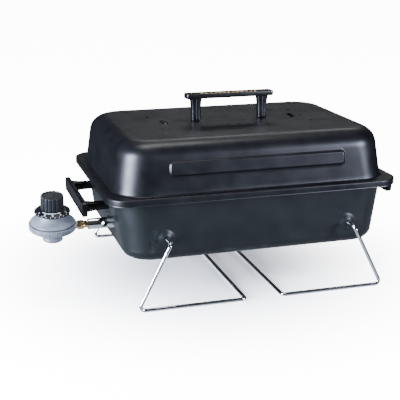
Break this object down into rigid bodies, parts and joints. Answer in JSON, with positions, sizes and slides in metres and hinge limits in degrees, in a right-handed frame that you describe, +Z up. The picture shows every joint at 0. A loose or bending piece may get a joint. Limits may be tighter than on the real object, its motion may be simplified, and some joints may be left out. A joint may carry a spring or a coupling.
{
  "type": "portable tabletop gas grill",
  "caption": "Rectangular pressed-steel tabletop grill with a lift-off lid, folding wire legs, carry handles, a loop burner and a cylinder-mounted gas regulator.",
  "frame": {"origin": "middle of the whole object's base, on the surface that it stands on", "axes": "+X along the long side, away from the regulator; +Y to the rear; +Z up"},
  "size_m": [0.5728, 0.3476, 0.2773],
  "materials": {
    "lid_paint": "semi-gloss black heat-resistant paint with a fine orange-peel texture",
    "firebox_paint": "satin dark blue-grey paint",
    "leg_chrome": "bright chrome-plated wire",
    "grate_chrome": "plated wire with faint heat tint",
    "plated_steel": "zinc-plated steel",
    "venturi_plate": "bright plated tube",
    "clip_steel": "blackened spring steel",
    "burner_steel": "brushed stainless steel",
    "handle_plastic": "black phenolic with soft gloss",
    "knob_plastic": "charcoal moulded plastic",
    "dial_plastic": "black moulded plastic with white marks",
    "cast_zinc": "light grey satin die casting",
    "gas_brass": "machined brass",
    "seal_rubber": "nitrile rubber"
  },
  "bodies": {
    "firebox": {"firebox_shell": "firebox_paint", "side_handle_left": "handle_plastic", "side_handle_right": "handle_plastic", "side_handle_screw_left_front": "plated_steel", "side_handle_screw_left_rear": "plated_steel", "side_handle_screw_right_front": "plated_steel", "side_handle_screw_right_rear": "plated_steel", "venturi_tube": "venturi_plate", "venturi_clip": "clip_steel", "burner_loop": "burner_steel", "burner_bracket_left": "plated_steel", "burner_bracket_right": "plated_steel", "burner_screw_left": "plated_steel", "burner_screw_right": "plated_steel", "heat_plate": "burner_steel", "cooking_grate": "grate_chrome", "grate_tab_front_left": "plated_steel", "grate_tab_front_right": "plated_steel", "grate_tab_rear_left": "plated_steel", "grate_tab_rear_right": "plated_steel"},
    "lid": {"lid_shell": "lid_paint", "lid_handle": "handle_plastic", "lid_handle_washer_left": "plated_steel", "lid_handle_washer_right": "plated_steel", "lid_handle_screw_left": "plated_steel", "lid_handle_screw_right": "plated_steel"},
    "left_leg": {"left_leg_wire": "leg_chrome", "left_leg_push_nut_front": "plated_steel", "left_leg_push_nut_rear": "plated_steel"},
    "right_leg": {"right_leg_wire": "leg_chrome", "right_leg_push_nut_front": "plated_steel", "right_leg_push_nut_rear": "plated_steel"},
    "regulator": {"regulator_base": "cast_zinc", "regulator_bonnet": "cast_zinc", "diaphragm": "seal_rubber", "diaphragm_plate": "plated_steel", "pressure_spring": "burner_steel", "valve_pin": "gas_brass", "inlet_seal": "seal_rubber", "outlet_fitting": "gas_brass", "orifice_jet": "gas_brass"},
    "knob": {"valve_stem": "gas_brass", "dial_skirt": "dial_plastic", "control_knob": "knob_plastic"}
  },
  "joints": [
    {"name": "lid_lift", "type": "slide", "parent": "firebox", "child": "lid", "axis": [0, 0, 1], "range_m": [0, 0.2]},
    {"name": "left_leg_fold", "type": "hinge", "parent": "firebox", "child": "left_leg", "pos_m": [-0.10187, 0, 0.097], "axis": [0, 1, 0], "range_deg": [-18.5, 133]},
    {"name": "right_leg_fold", "type": "hinge", "parent": "firebox", "child": "right_leg", "pos_m": [0.17913, 0, 0.097], "axis": [0, -1, 0], "range_deg": [-18.5, 246]},
    {"name": "regulator_pull", "type": "slide", "parent": "firebox", "child": "regulator", "axis": [-1, 0, 0], "range_m": [0, 0.08]},
    {"name": "knob_turn", "type": "hinge", "parent": "regulator", "child": "knob", "pos_m": [-0.25237, -0.07846, 0.13465], "axis": [0, -0.1564, 0.9877], "range_deg": [0, 270]}
  ]
}
